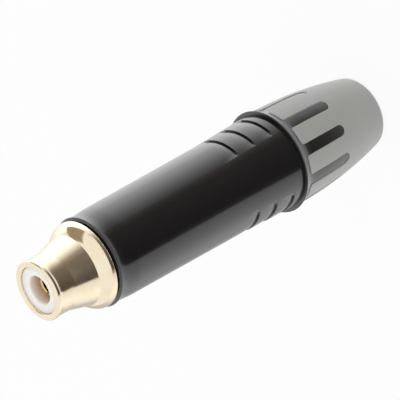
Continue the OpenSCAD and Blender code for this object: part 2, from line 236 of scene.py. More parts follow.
BOOT_CURVE = 2.05
LIP_CURVE = 1.5
BOOT_THREAD_DEPTH = 0.56
BOOT_THREAD_ENDS = (0.25, 0.1)
CHUCK_CONE = 2.3
CABLE_ROUND = 0.2
FINGER_COUNT = 10
FINGER_PHASE = -85.5
# Steps round the boot for a finger and its tab, and the radius at which the boot is unrolled
FINGER_STEPS = 72
FINGER_REFERENCE = 7.07
# Rows of vertices: their spacing at the fingers' tips, the first beyond the tips, the last below the
# band, and their numbers along the fingers' sides, the band and the plain skin
FINGER_ROW = 0.062
FINGER_MARGIN = 0.1
BAND_ROW = 0.03
SIDE_ROWS = 8
BAND_ROWS = 8
SKIN_ROWS = 12
# How far a vertex is moved onto the fingers' outline
FINGER_REACH = 0.045


# Modelling


def deselect():
    """Leaves edit mode and deselects all objects."""
    if bpy.context.object and bpy.context.object.mode == "EDIT":
        bpy.ops.object.mode_set(mode="OBJECT")
    bpy.ops.object.select_all(action="DESELECT")


def arc(r, z, radius, start, end, steps):
    """Points on an arc in the plane of radius and height, in mm and degrees."""
    angles = [math.radians(start + (end - start) * i / steps) for i in range(steps + 1)]
    return [(r + radius * math.cos(a), z + radius * math.sin(a)) for a in angles]


def turn(name, outline, runs=((360.0, 144),), start=0.0):
    """Draws a closed outline of (radius, height) from one vertex, and spins it round the axis in runs
    of (degrees, steps)."""
    deselect()
    bpy.ops.mesh.primitive_plane_add(size=MM, location=(0, 0, 0))
    piece = bpy.context.object
    piece.name = name
    piece.data.name = name
    across, along = math.cos(math.radians(start)), math.sin(math.radians(start))
    places = [Vector((r * across, r * along, z)) * MM for r, z in outline]
    bpy.ops.object.mode_set(mode="EDIT")
    bpy.ops.mesh.select_all(action="SELECT")
    bpy.ops.mesh.merge(type="CENTER")
    bpy.ops.transform.translate(value=places[0])
    for here, there in zip(places, places[1:] + places[:1]):
        bpy.ops.mesh.extrude_vertices_move(TRANSFORM_OT_translate={"value": there - here})
    bpy.ops.mesh.select_all(action="SELECT")
    for degrees, steps in runs:
        bpy.ops.mesh.spin(
            steps=steps, angle=math.radians(degrees), center=(0, 0, 0), axis=(0, 0, 1), use_auto_merge=False
        )
    close_up()
    return piece


def close_up():
    """Welds the seams of the piece in edit mode and turns its faces outwards."""
    bpy.ops.mesh.select_all(action="SELECT")
    bpy.ops.mesh.remove_doubles(threshold=WELD)
    bpy.ops.mesh.normals_make_consistent(inside=False)
    bpy.ops.object.mode_set(mode="OBJECT")


def smooth(piece, degrees=38):
    """Shades the piece smooth, but for edges sharper than the angle."""
    deselect()
    piece.select_set(True)
    bpy.context.view_layer.objects.active = piece
    bpy.ops.object.shade_smooth_by_angle(angle=math.radians(degrees))


def thread(name, crest, depth, pitch, low, high):
    """A screw thread: a tapered ridge that winds round the axis, its foot sunk in the spigot."""
    foot = crest - depth - THREAD_SINK
    half_foot, half_crest = (share * pitch for share in THREAD_HALVES)
    turns = (high - low) / pitch - 1
    deselect()
    bpy.ops.mesh.primitive_plane_add(size=MM, location=(0, 0, 0))
    ridge = bpy.context.object
    ridge.name = name
    middle = low + half_foot
    corners = [
        (foot, low), (crest, middle - half_crest), (crest, middle + half_crest), (foot, low + 2 * half_foot),
    ]
    places = [Vector((r, 0, z)) * MM for r, z in corners]
    bpy.ops.object.mode_set(mode="EDIT")
    bpy.ops.mesh.select_all(action="SELECT")
    bpy.ops.mesh.merge(type="CENTER")
    bpy.ops.transform.translate(value=places[0])
    for here, there in zip(places, places[1:]):
        bpy.ops.mesh.extrude_vertices_move(TRANSFORM_OT_translate={"value": there - here})
    bpy.ops.mesh.select_all(action="SELECT")
    bpy.ops.mesh.edge_face_add()
    bpy.ops.object.mode_set(mode="OBJECT")
    screw = ridge.modifiers.new("Winding", "SCREW")
    screw.axis = "Z"
    screw.angle = math.tau * turns
    screw.screw_offset = turns * pitch * MM
    screw.steps = screw.render_steps = int(THREAD_STEPS * turns)
    screw.use_merge_vertices = False
    bpy.ops.object.modifier_apply(modifier=screw.name)
    bpy.ops.object.mode_set(mode="EDIT")
    close_up()
    return ridge


def join(piece, *others):
    """Makes the others part of the piece's mesh."""
    deselect()
    for other in (piece, *others):
        other.select_set(True)
    bpy.context.view_layer.objects.active = piece
    bpy.ops.object.join()


def unrolled(vertex):
    """A vertex's radius, angle and height, in mm and degrees."""
    x, y, z = vertex.co
    return math.hypot(x, y) / MM, math.degrees(math.atan2(y, x)), z / MM


def put(vertex, r, degrees, z):
    """Moves a vertex to a radius, an angle and a height."""
    angle = math.radians(degrees)
    vertex.co = Vector((r * math.cos(angle), r * math.sin(angle), z)) * MM


def turn_between(a, b):
    """The angle from b to a, from -180 to 180 degrees."""
    return (a - b + 180.0) % 360.0 - 180.0


def ease(t):
    """Rises smoothly from 0 to 1 as t does."""
    t = min(1.0, max(0.0, t))
    return t * t * (3 - 2 * t)


# Shell


def shell_radius(sizes, height):
    """Outer radius at a height above the rear edge: draft, the bell behind, and the lip in front."""
    span = SHELL_FRONT - SHELL_REAR
    bell = max(0.0, 1 - height / sizes.bell_length)
    lip_z = span - sizes.front_end - sizes.front_lip_length
    lip = max(0.0, (height - lip_z) / sizes.front_lip_length)
    waist = ease((height - lip_z + WAIST_START) / WAIST_RUN)
    return (
        sizes.front + sizes.draft * (1 - height / span) + sizes.bell_rise * bell**BELL_CURVE
        + sizes.front_lip * lip**2 - sizes.front_waist * waist
    )


def notch_walls(sizes):
    """Heights of the steps. The first lies behind the rear edge, where its notch runs out."""
    first = SHELL_REAR + sizes.notch_rear
    return [first + row * sizes.notch_pitch for row in (-1, 0, 1, 2)]


def notch_depth(sizes, x, z):
    """How deep the notches are at a distance across the group and a height."""
    for wall in notch_walls(sizes):
        along = (z - wall) / sizes.notch_pitch
        if z > wall - sizes.notch_edge and along <= 1:
            side = abs(x) - (sizes.notch_width / 2 - sizes.notch_corner)
            rear = wall + sizes.notch_corner - z
            inside = math.hypot(side, rear) if side > 0 and rear > 0 else max(side, rear)
            within = sizes.notch_corner - inside
            depth = sizes.notch_depth * (1 - max(0.0, along)) ** NOTCH_HOLLOW
            if within > NEAR:
                return depth
            if within > -sizes.notch_edge:
                round_off = min(1.0, 1 + within / sizes.notch_edge)
                return min(depth, sizes.notch_edge * (1 - math.sqrt(1 - round_off**2)))
    return 0.0


def shell_heights(sizes):
    """Rows of vertices up the outside, close together at the steps and their corners."""
    walls = notch_walls(sizes)
    lip_end = SHELL_FRONT - sizes.front_end
    rows = [wall + step for wall in walls for step in STEP_ROWS]
    rows += [walls[-1] + sizes.notch_pitch + PLAIN_ROW * i for i in range(PLAIN_ROWS)]
    rows += [lip_end - LIP_ROW / 4 - LIP_ROW * i for i in range(LIP_ROWS)]
    return [z for z in sorted(rows) if SHELL_REAR + REAR_EDGE + 2 * NEAR < z < lip_end]


class SOCKET_OT_shell(bpy.types.Operator):
    """Builds the die-cast shell with its bell, its finger notches and its keyways"""

    bl_idname = "socket.shell"
    bl_label = "Shell"

    def execute(self, context):
        s = in_mm(context.scene.socket_shell)
        rear_r = shell_radius(s, 0)
        front_r = shell_radius(s, SHELL_FRONT - s.front_end - SHELL_REAR)
        cavity_top = SHELL_FRONT - s.front_depth - (s.cavity - s.front_bore)
        outline = (
            [(s.rear_bore + REAR_CHAMFER, SHELL_REAR)]
            + arc(rear_r - REAR_EDGE, SHELL_REAR + REAR_EDGE, REAR_EDGE, -90, 0, steps=4)
            + [(shell_radius(s, z - SHELL_REAR), z) for z in shell_heights(s)]
            + arc(front_r - FRONT_EDGE, SHELL_FRONT - s.front_end, FRONT_EDGE, 0, FRONT_SLOPE, steps=4)
            + [
                (s.front_bore + CHAMFER, SHELL_FRONT),
                (s.front_bore, SHELL_FRONT - CHAMFER),
                (s.front_bore, SHELL_FRONT - s.front_depth),
                (s.cavity, cavity_top),
                (s.cavity, cavity_top - CHAMFER),
                (s.cavity, SHELL_REAR + s.rear_depth + s.rear_bore - s.cavity),
                (s.rear_bore, SHELL_REAR + s.rear_depth),
                (s.rear_bore, SHELL_REAR + REAR_CHAMFER),
            ]
        )
        shell = turn("shell_cast", outline, self.runs(s), NOTCH_ANGLES[0] - NOTCH_HALF_ANGLE)
        self.press(shell, s, cavity_top - CHAMFER / 2)
        smooth(shell)
        shell.data.materials.append(satin_paint(context.scene.socket_colours))
        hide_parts("shell")
        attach(shell, "shell")
        return {"FINISHED"}

    def runs(self, s):
        """Steps round the axis, close together at the sides of the notches and of the keyways."""
        side = (NOTCH_HALF_ANGLE - NOTCH_EVEN_ANGLE, NOTCH_SIDE_STEPS)
        wall = (KEYWAY_WALL_ANGLE, 1)
        key = math.degrees(math.asin(s.keyway_width / 2 / s.cavity))
        reach = key + KEYWAY_WALL_ANGLE / 2
        made = []
        for i, centre in enumerate(NOTCH_ANGLES):
            group_end = centre + NOTCH_HALF_ANGLE
            next_start = NOTCH_ANGLES[(i + 1) % 3] - NOTCH_HALF_ANGLE + (360 if i == 2 else 0)
            before = KEYWAY_ANGLES[i] - reach - group_end
            after = next_start - KEYWAY_ANGLES[i] - reach
            made += [side, (2 * NOTCH_EVEN_ANGLE, 12), side]
            made += [(before, 6), wall, (2 * key - KEYWAY_WALL_ANGLE, 4), wall, (after, 8)]
        return made

    def press(self, shell, s, keyway_top):
        """Presses the notches in from the outside and the keyways out from the inside. A notch fades
        out to nothing at its front, which a boolean and a bevel wouldn't leave clean."""
        key = math.degrees(math.asin(s.keyway_width / 2 / s.cavity))
        outside = (s.rear_bore + s.front) / 2
        for vertex in shell.data.vertices:
            r, angle, z = unrolled(vertex)
            if r > outside:
                turned = min((turn_between(angle, centre) for centre in NOTCH_ANGLES), key=abs)
                put(vertex, r - notch_depth(s, r * math.sin(math.radians(turned)), z), angle, z)
            elif r > s.cavity - NEAR and z < keyway_top:
                if min(abs(turn_between(angle, middle)) for middle in KEYWAY_ANGLES) < key:
                    put(vertex, s.keyway, angle, z)


# Jack


class SOCKET_OT_jack(bpy.types.Operator):
    """Builds the turned and plated jack, with its neck, its flange and its thread, and its white face"""

    bl_idname = "socket.jack"
    bl_label = "Jack"

    def execute(self, context):
        s = in_mm(context.scene.socket_jack)
        colours = context.scene.socket_colours
        neck_r = s.barrel + s.barrel_taper + s.neck_round
        rim_edge = math.radians(SHOULDER_ANGLES[0])
        shoulder_r = s.flange - s.shoulder * math.cos(rim_edge)
        shoulder_z = SHELL_FRONT + s.flange_rim - s.shoulder * math.sin(rim_edge)
        crest_z = TIP - s.bead_round - s.bead_crest
        ramp_rise = math.degrees(2 * math.atan((s.bead - s.barrel) / s.bead_ramp))
        ramp_round = s.bead_ramp / math.sin(math.radians(ramp_rise))
        spigot_z = SHELL_FRONT - s.spigot_length
        root = s.spigot - JACK_THREAD_DEPTH
        snap_z = spigot_z - SNAP_DROP
        seat_z = SHELL_FRONT + STEP_HEIGHT
        outline = (
            [(root, SHELL_FRONT)]
            + [(s.flange - FLANGE_EDGE, SHELL_FRONT), (s.flange, SHELL_FRONT + FLANGE_EDGE)]
            + arc(shoulder_r, shoulder_z, s.shoulder, *SHOULDER_ANGLES, steps=30)
            + arc(neck_r, TIP - s.neck, s.neck_round, 180 + NECK_ANGLE, 180, steps=12)
            + arc(s.barrel + ramp_round, crest_z - s.bead_ramp, ramp_round, 180, 180 - ramp_rise, steps=12)
            + [(s.bead, crest_z + CREST_MARGIN), (s.bead, crest_z + s.bead_crest - CREST_MARGIN)]
            + arc(s.bead - s.bead_round, TIP - s.bead_round, s.bead_round, 0, 90, steps=10)
            + arc(s.face + MOUTH_ROUND, TIP - MOUTH_ROUND, MOUTH_ROUND, 90, 180, steps=5)
            + [
                (s.face, seat_z),
                (s.foot, seat_z),
                (s.foot, JACK_REAR + ROLL_LENGTH),
                (s.foot - ROLL_DEPTH, JACK_REAR + ROLL_LENGTH),
                (s.foot - ROLL_DEPTH, JACK_REAR),
                (s.tail - TAIL_CHAMFER, JACK_REAR),
                (s.tail, JACK_REAR + TAIL_CHAMFER),
                (s.tail, snap_z),
                (s.tail - SNAP_DEPTH, snap_z),
                (s.tail - SNAP_DEPTH, snap_z + SNAP_WIDTH),
                (s.tail, snap_z + SNAP_WIDTH),
                (s.tail, spigot_z),
                (root, spigot_z + TAIL_CHAMFER),
            ]
        )
        jack = turn("jack_turned", outline)
        low, high = spigot_z + JACK_THREAD_ENDS[0], SHELL_FRONT - JACK_THREAD_ENDS[1]
        join(jack, thread("jack_thread", s.spigot, JACK_THREAD_DEPTH, s.pitch, low, high))
        smooth(jack, degrees=30)
        jack.data.materials.append(gold_plate("Gold plating", colours.gold, colours.deep_gold, turned=True))
        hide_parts("jack_body")
        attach(jack, "jack")
        self.face(s, colours)
        return {"FINISHED"}

    def face(self, s, colours):
        """The white insulator, its front edge and the mouth of its hole rounded."""
        front, foot = s.face - FACE_GAP, s.foot - FACE_GAP
        seat_z = SHELL_FRONT + STEP_HEIGHT
        collar_z = TIP - COLLAR_DEPTH
        outline = (
            arc(s.pin_hole + HOLE_ROUND, FACE - HOLE_ROUND, HOLE_ROUND, 180, 90, steps=8)
            + arc(front - FACE_ROUND, FACE - FACE_ROUND, FACE_ROUND, 90, 0, steps=4)
            + [
                (front, seat_z),
                (foot, seat_z),
                (foot, FACE_REAR),
                (COLLAR_BORE, FACE_REAR),
                (COLLAR_BORE, collar_z),
                (s.pin_hole, collar_z),
            ]
        )
        face = turn("jack_face", outline)
        smooth(face)
        face.data.materials.append(white_moulding(colours))
        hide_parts("jack_insulator")
        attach(face, "jack")


# Boot


def boot_radius(s, z):
    """Outer radius of the skin at a height: the curve out to the lip, and the sides that bend in late."""
    waist_z = SHELL_REAR - s.lip_length
    if z > waist_z:
        return s.waist + (s.lip - s.waist) * ((z - waist_z) / s.lip_length) ** LIP_CURVE
    return s.waist - (s.waist - s.end) * ((waist_z - z) / waist_z) ** BOOT_CURVE


def finger_side(s, x, z):
    """Signed distance to the outline of the fingers and the band on the unrolled boot, in mm. It is
    negative on a finger or the band, and positive on the soft skin."""
    half = s.finger / 2
    tip = TABS - s.finger_length + half
    root = TABS - s.tab_corner
    x = abs(x)
    if z < tip:
        return math.hypot(x, z - tip) - half
    if z < root:
        return x - half
    corner = half + s.tab_corner
    if x < corner:
        return s.tab_corner - math.hypot(corner - x, z - root)
    return TABS - z


def to_outline(s, x, z):
    """Moves a point that lies close to the outline onto it, so that the cut edge is smooth."""
    side = finger_side(s, x, z)
    if abs(side) > FINGER_REACH or z > TABS - NEAR:
        return x, z, side
    step = NEAR / 2
    slope = Vector((
        finger_side(s, x + step, z) - finger_side(s, x - step, z),
        finger_side(s, x, z + step) - finger_side(s, x, z - step),
    ))
    if slope.length < step:
        return x, z, side
    slope = slope.normalized() * side
    return x - slope.x, z - slope.y, 0.0


def finger_rows(s):
    """Rows of vertices down the tabs, close together at the round tips and at the tabs' corners."""
    tip_high = TABS - s.finger_length + s.finger / 2
    first = TABS - s.finger_length - FINGER_MARGIN
    corner = TABS - s.tab_corner
    rows = [first + FINGER_ROW * i for i in range(int((tip_high - first) / FINGER_ROW) + 1)]
    rows += [tip_high + (corner - tip_high) * i / SIDE_ROWS for i in range(SIDE_ROWS + 1)]
    rows += [corner + FINGER_ROW * i for i in range(1, int(s.tab_corner / FINGER_ROW))]
    rows += [TABS - BAND_ROW, TABS]
    return sorted(set(round(z, 4) for z in rows))


def unroll_to_finger(angle):
    """Distance across the unrolled boot from the nearest finger's middle, and that middle's angle."""
    pitch = 360.0 / FINGER_COUNT
    middle = FINGER_PHASE + pitch * round((angle - FINGER_PHASE) / pitch)
    return math.radians(angle - middle) * FINGER_REFERENCE, middle


class SOCKET_OT_boot(bpy.types.Operator):
    """Builds the boot: the hard core with its fingers, and the soft skin moulded between them"""

    bl_idname = "socket.boot"
    bl_label = "Boot"

    def execute(self, context):
        s = in_mm(context.scene.socket_boot)
        self.core(s, context.scene.socket_colours)
        self.skin(s, context.scene.socket_colours)
        return {"FINISHED"}

    def core(self, s, colours):
        """The hard core: the screwed spigot, the lip, the band, and the fingers raised between the tabs."""
        root = s.screw - BOOT_THREAD_DEPTH
        chuck_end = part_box("chuck")[0].z / MM
        # The band falls from the lip to the level of the fingers
        band_top = SHELL_REAR - s.lip_edge
        band = []
        for i in range(BAND_ROWS + 1):
            z = band_top + (TABS - band_top) * i / BAND_ROWS
            band.append((boot_radius(s, z) - s.finger_drop * i / BAND_ROWS, z))
        outline = (
            [(s.seat, SPIGOT_TOP), (root - CHAMFER, SPIGOT_TOP)]
            + [(root, SPIGOT_TOP - CHAMFER), (root, SHELL_REAR)]
            + arc(band[0][0] - s.lip_edge, band_top, s.lip_edge, 90, 0, steps=5)
            + band[1:]
            + [(s.core, z) for z in reversed(finger_rows(s))]
            + [
                (s.core, CORE_REAR),
                (s.core_hole, CORE_REAR),
                (s.core_hole, chuck_end - CHAMFER),
                (s.core_hole + CHAMFER, chuck_end - CHAMFER),
                (s.seat, chuck_end + CHUCK_CONE),
            ]
        )
        core = turn("boot_hard", outline, ((360.0, FINGER_STEPS * FINGER_COUNT),), FINGER_PHASE)
        rib_low = TABS - s.finger_length - 2 * FINGER_MARGIN
        for vertex in core.data.vertices:
            r, angle, z = unrolled(vertex)
            if abs(r - s.core) < NEAR and rib_low < z < TABS + NEAR:
                x, middle = unroll_to_finger(angle)
                x, z, side = to_outline(s, x, z)
                if side <= 0:
                    top = boot_radius(s, z) - s.finger_drop
                    put(vertex, top, middle + math.degrees(x / FINGER_REFERENCE), z)
        bpy.context.view_layer.objects.active = core
        bpy.ops.object.mode_set(mode="EDIT")
        close_up()
        low, high = SHELL_REAR + BOOT_THREAD_ENDS[0], SPIGOT_TOP - BOOT_THREAD_ENDS[1]
        join(core, thread("boot_thread", s.screw, BOOT_THREAD_DEPTH, s.pitch, low, high))
        smooth(core)
        core.data.materials.append(hard_plastic(colours))
        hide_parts("boot_core")
        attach(core, "boot")

    def skin(self, s, colours):
        """The soft skin: the rear end in one piece, and the tabs between the fingers."""
        inner = s.core + s.skin_gap
        lean = math.degrees(math.atan((s.waist - s.end) * BOOT_CURVE / (SHELL_REAR - s.lip_length)))
        side_end = s.end_round * (1 - math.sin(math.radians(lean)))
        rows = finger_rows(s)
        below = [side_end + (rows[0] - side_end) * i / SKIN_ROWS for i in range(SKIN_ROWS)]
        end_r = boot_radius(s, side_end) - s.end_round * math.cos(math.radians(lean))
        outline = (
            [(boot_radius(s, z), z) for z in below + rows]
            + [(inner, z) for z in reversed(rows)]
            + [(inner, CORE_REAR), (s.cable, CORE_REAR)]
            + arc(s.cable + CABLE_ROUND, CABLE_ROUND, CABLE_ROUND, 180, 270, steps=4)
            + arc(end_r, s.end_round, s.end_round, -90, -lean, steps=12)[:-1]
        )
        skin = turn("boot_skin", outline, ((360.0, FINGER_STEPS * FINGER_COUNT),), FINGER_PHASE)
        self.cut_windows(skin, s, inner, rows[0] - NEAR)
        smooth(skin, degrees=45)
        skin.data.materials.append(soft_skin(colours))
        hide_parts("boot_grip")
        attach(skin, "boot")

    def cut_windows(self, skin, s, inner, low):
        """Rounds the skin's edges down to the fingers, and cuts the windows that they fill."""
        open_vertices = set()
        for vertex in skin.data.vertices:
            r, angle, z = unrolled(vertex)
            if z < low:
                continue
            x, middle = unroll_to_finger(angle)
            x, z, side = to_outline(s, x, z)
            outer = r > inner + NEAR
            if side < 0:
                open_vertices.add(vertex.index)
                r = inner
            elif side == 0.0 and outer:
                r = boot_radius(s, z) - s.tab_edge
            elif side < s.tab_edge and outer:
                r -= s.tab_edge - math.sqrt(s.tab_edge**2 - (s.tab_edge - side) ** 2)
            put(vertex, r, middle + math.degrees(x / FINGER_REFERENCE), z)
        bpy.context.view_layer.objects.active = skin
        bpy.context.tool_settings.mesh_select_mode = (False, False, True)
        bpy.ops.object.mode_set(mode="EDIT")
        bpy.ops.mesh.select_all(action="DESELECT")
        bpy.ops.object.mode_set(mode="OBJECT")
        for face in skin.data.polygons:
            face.select = open_vertices.issuperset(face.vertices)
        bpy.ops.object.mode_set(mode="EDIT")
        bpy.ops.mesh.delete(type="FACE")
        bpy.context.tool_settings.mesh_select_mode = (True, False, False)
        close_up()


# Finishes


def linear(text):
    """A hex sRGB colour as a linear RGBA colour."""
    parts = [int(text[i : i + 2], 16) / 255 for i in (0, 2, 4)]
    return (*(p / 12.92 if p <= 0.04045 else ((p + 0.055) / 1.055) ** 2.4 for p in parts), 1.0)


def shade(text, factor):
    """A hex colour made lighter or darker."""
    parts = [min(255, round(int(text[i : i + 2], 16) * factor)) for i in (0, 2, 4)]
    return "".join(f"{p:02X}" for p in parts)


def scale(size_mm):
    """The scale at which a pattern's features are about size_mm across."""
    return 1 / (size_mm * MM)


def add(tree, kind, links=None, **settings):
    """Adds a node. links maps its inputs to values, to outputs, or to nodes, of which the first output
    in use is taken."""
    made = tree.nodes.new("ShaderNode" + kind)
    for key, value in settings.items():
        setattr(made, key, value)
    for socket, value in (links or {}).items():
        if isinstance(value, bpy.types.Node):
            value = next(output for output in value.outputs if output.enabled)
        if isinstance(value, bpy.types.NodeSocket):
            tree.links.new(value, made.inputs[socket])
        else:
            made.inputs[socket].default_value = value
    return made


def between(tree, value, low, high, blur, peak):
    """The peak where a value lies from low to high, and 0 outside, with soft edges."""
    rise = add(tree, "MapRange", {
        "Value": value, "From Min": low - blur, "From Max": low + blur, "To Max": peak,
    })
    return add(tree, "MapRange", {
        "Value": value, "From Min": high - blur, "From Max": high + blur, "To Min": rise, "To Max": 0.0,
    })


def new_material(name):
    """An empty material with its tree and the piece's own coordinates, in metres."""
    material = bpy.data.materials.new(name)
    material.use_nodes = True
    tree = material.node_tree
    tree.nodes.clear()
    place = add(tree, "TexCoord").outputs["Object"]
    return material, tree, place


def satin_paint(colours):
    """Baked satin paint on a zinc casting: near black, with a soft sheen that pools into grey bands, a
    faint orange peel, and the odd speck of dust. The specks are 0.1 mm wide, wider than real ones, so
    that they show."""
    material, tree, place = new_material("Satin black paint")
    dust = add(tree, "TexVoronoi", {"Vector": place, "Scale": scale(3.2)})
    speck = add(tree, "MapRange", {
        "Value": dust.outputs["Distance"], "From Min": 0.018, "From Max": 0.03, "To Min": 1.0, "To Max": 0.0,
    })
    few = add(tree, "MapRange", {"Value": dust.outputs["Color"], "From Min": 0.62, "From Max": 0.64})
    speck = add(tree, "Math", {0: speck, 1: few}, operation="MULTIPLY")
    peel = add(tree, "TexNoise", {"Vector": place, "Scale": scale(0.5), "Detail": 2.0})
    cloud = add(tree, "TexNoise", {"Vector": place, "Scale": scale(4.0), "Detail": 3.0})
    specked = add(tree, "Mix", {
        "Factor": speck, "A": linear(colours.paint), "B": linear(colours.dust),
    }, data_type="RGBA")
    sheen = add(tree, "MapRange", {
        "Value": cloud, "From Min": 0.3, "From Max": 0.7, "To Min": 0.2, "To Max": 0.26,
    })
    shader = add(tree, "BsdfPrincipled", {
        "Base Color": specked,
        "Roughness": sheen,
        "IOR": 1.5,
        "Coat Weight": 0.8,
        "Coat Roughness": 0.13,
        "Coat IOR": 1.5,
        "Normal": add(tree, "Bump", {"Height": peel, "Distance": 0.0012 * MM}),
    })
    add(tree, "OutputMaterial", {"Surface": shader})
    return material


def turned_marks(tree, place):
    """The hair lines of turning, 0.06 mm apart along the axis and too fine to see one by one, and nicks
    on the flange's rim, where the jack was gripped."""
    stretched = add(tree, "Mapping", {"Vector": place, "Scale": (0.02, 0.02, 1.0)})
    hair = add(tree, "TexNoise", {"Vector": stretched, "Scale": scale(0.06), "Detail": 1.0})
    lines = add(tree, "Bump", {"Height": hair, "Distance": 0.0006 * MM})
    height = add(tree, "SeparateXYZ", {0: place}).outputs["Z"]
    rim = between(tree, height, (SHELL_FRONT + 0.1) * MM, (SHELL_FRONT + 0.6) * MM, 0.04 * MM, 1.0)
    rough = add(tree, "TexNoise", {"Vector": place, "Scale": scale(0.22), "Detail": 3.0})
    nicks = add(tree, "Math", {0: rough, 1: rim}, operation="MULTIPLY")
    return add(tree, "Bump", {"Height": nicks, "Distance": 0.03 * MM, "Normal": lines})


def gold_plate(name, thin, thick, turned=False):
    """Bright gold over turned brass: pale, nearly a mirror, and a little deeper in colour where the
    plating is thicker. On the jack the lathe's hair lines break up its reflections."""
    material, tree, place = new_material(name)
    patch = add(tree, "TexNoise", {"Vector": place, "Scale": scale(1.6), "Detail": 4.0})
    links = {
        "Base Color": add(tree, "Mix", {
            "Factor": patch, "A": linear(thin), "B": linear(thick),
        }, data_type="RGBA"),
        "Metallic": 1.0,
        "Roughness": add(tree, "MapRange", {
            "Value": patch, "From Min": 0.3, "From Max": 0.7, "To Min": 0.1, "To Max": 0.17,
        }),
    }
    if turned:
        links["Normal"] = turned_marks(tree, place)
    add(tree, "OutputMaterial", {"Surface": add(tree, "BsdfPrincipled", links)})
    return material


def white_moulding(colours):
    """White engineering plastic, moulded smooth: slightly translucent, with a soft gloss. Deeper in the
    hole, a painted reflection of the gold contact and painted shade make the wall warmer and darker."""
    material, tree, place = new_material("White moulded plastic")
    grain = add(tree, "TexNoise", {"Vector": place, "Scale": scale(0.25), "Detail": 2.0})
    height = add(tree, "SeparateXYZ", {0: place}).outputs["Z"]
    # Painted reflection and shade: from 0.9 to 3.5 mm below the face, the wall takes the warm hole colour
    inside = between(tree, height, (FACE - 3.5) * MM, (FACE - 0.9) * MM, 0.7 * MM, 1.0)
    plain = add(tree, "Mix", {
        "Factor": grain, "A": linear(colours.face), "B": linear(shade(colours.face, 0.975)),
    }, data_type="RGBA")
    shader = add(tree, "BsdfPrincipled", {
        "Base Color": add(tree, "Mix", {
            "Factor": inside, "A": plain, "B": linear(colours.hole),
        }, data_type="RGBA"),
        "Roughness": add(tree, "MapRange", {"Value": grain, "To Min": 0.38, "To Max": 0.46}),
        "IOR": 1.5,
        "Subsurface Weight": 0.5,
        "Subsurface Radius": (0.0016, 0.0014, 0.0012),
        "Subsurface Scale": 1.0,
        "Normal": add(tree, "Bump", {"Height": grain, "Distance": 0.001 * MM}),
    })
    add(tree, "OutputMaterial", {"Surface": shader})
    return material


def hard_plastic(colours):
    """Black glass-filled nylon from a spark-eroded mould: a fine matt grain that catches grey light. The
    real grain is about 0.03 mm across, and is drawn at 0.12 mm so that it shows."""
    material, tree, place = new_material("Black filled nylon")
    grain = add(tree, "TexNoise", {
        "Vector": place, "Scale": scale(0.12), "Detail": 2.0, "Roughness": 0.6,
    })
    cloud = add(tree, "TexNoise", {"Vector": place, "Scale": scale(3.0), "Detail": 3.0})
    shader = add(tree, "BsdfPrincipled", {
        "Base Color": add(tree, "Mix", {
            "Factor": cloud, "A": linear(colours.core), "B": linear(shade(colours.core, 1.25)),
        }, data_type="RGBA"),
        "Roughness": add(tree, "MapRange", {"Value": grain, "To Min": 0.22, "To Max": 0.3}),
        "IOR": 1.53,
        "Coat Weight": 0.8,
        "Coat Roughness": 0.15,
        "Normal": add(tree, "Bump", {"Height": grain, "Distance": 0.003 * MM}),
    })
    add(tree, "OutputMaterial", {"Surface": shader})
    return material


def soft_skin(colours):
    """Soft grey elastomer: matt, finely grained, faintly velvety at the edges, with pale scuffs. The
    grain is drawn at 0.1 mm, coarser than the real one, so that it shows."""
    material, tree, place = new_material("Grey soft-touch elastomer")
    grain = add(tree, "TexNoise", {
        "Vector": place, "Scale": scale(0.1), "Detail": 2.0, "Roughness": 0.6,
    })
    cloud = add(tree, "TexNoise", {"Vector": place, "Scale": scale(3.5), "Detail": 4.0})
    rubbed = add(tree, "TexNoise", {
        "Vector": place, "Scale": scale(0.7), "Detail": 6.0, "Roughness": 0.7,
    })
    scuff = add(tree, "MapRange", {"Value": rubbed, "From Min": 0.66, "From Max": 0.74, "To Max": 0.5})
    plain = add(tree, "Mix", {
        "Factor": cloud, "A": linear(shade(colours.skin, 0.975)), "B": linear(shade(colours.skin, 1.025)),
    }, data_type="RGBA")
    shader = add(tree, "BsdfPrincipled", {
        "Base Color": add(tree, "Mix", {
            "Factor": scuff, "A": plain, "B": linear(shade(colours.skin, 1.15)),
        }, data_type="RGBA"),
        "Roughness": add(tree, "MapRange", {"Value": grain, "To Min": 0.5, "To Max": 0.62}),
        "IOR": 1.48,
        "Sheen Weight": 0.3,
        "Sheen Roughness": 0.4,
        "Normal": add(tree, "Bump", {"Height": grain, "Distance": 0.003 * MM}),
    })
    add(tree, "OutputMaterial", {"Surface": shader})
    return material


def plain_moulding(name, text, roughness):
    """Unfilled moulded or pressed plastic: even and half matt, with a fine grain."""
    material, tree, place = new_material(name)
    grain = add(tree, "TexNoise", {"Vector": place, "Scale": scale(0.2), "Detail": 3.0})
    shader = add(tree, "BsdfPrincipled", {
        "Base Color": add(tree, "Mix", {
            "Factor": grain, "A": linear(text), "B": linear(shade(text, 1.12)),
        }, data_type="RGBA"),
        "Roughness": add(tree, "MapRange", {
            "Value": grain, "To Min": roughness - 0.05, "To Max": roughness + 0.05,
        }),
        "IOR": 1.53,
        "Normal": add(tree, "Bump", {"Height": grain, "Distance": 0.002 * MM}),
    })
    add(tree, "OutputMaterial", {"Surface": shader})
    return material


def tin_plate(colours):
    """Dull tin over stamped brass: grey, with the long grain of the rolled strip."""
    material, tree, place = new_material("Dull tin plating")
    stretched = add(tree, "Mapping", {"Vector": place, "Scale": (1.0, 1.0, 0.1)})
    grain = add(tree, "TexNoise", {"Vector": stretched, "Scale": scale(0.08), "Detail": 3.0})
    shader = add(tree, "BsdfPrincipled", {
        "Base Color": add(tree, "Mix", {
            "Factor": grain, "A": linear(colours.tin), "B": linear(shade(colours.tin, 0.88)),
        }, data_type="RGBA"),
        "Metallic": 1.0,
        "Roughness": add(tree, "MapRange", {"Value": grain, "To Min": 0.3, "To Max": 0.42}),
        "Normal": add(tree, "Bump", {"Height": grain, "Distance": 0.001 * MM}),
    })
    add(tree, "OutputMaterial", {"Surface": shader})
    return material


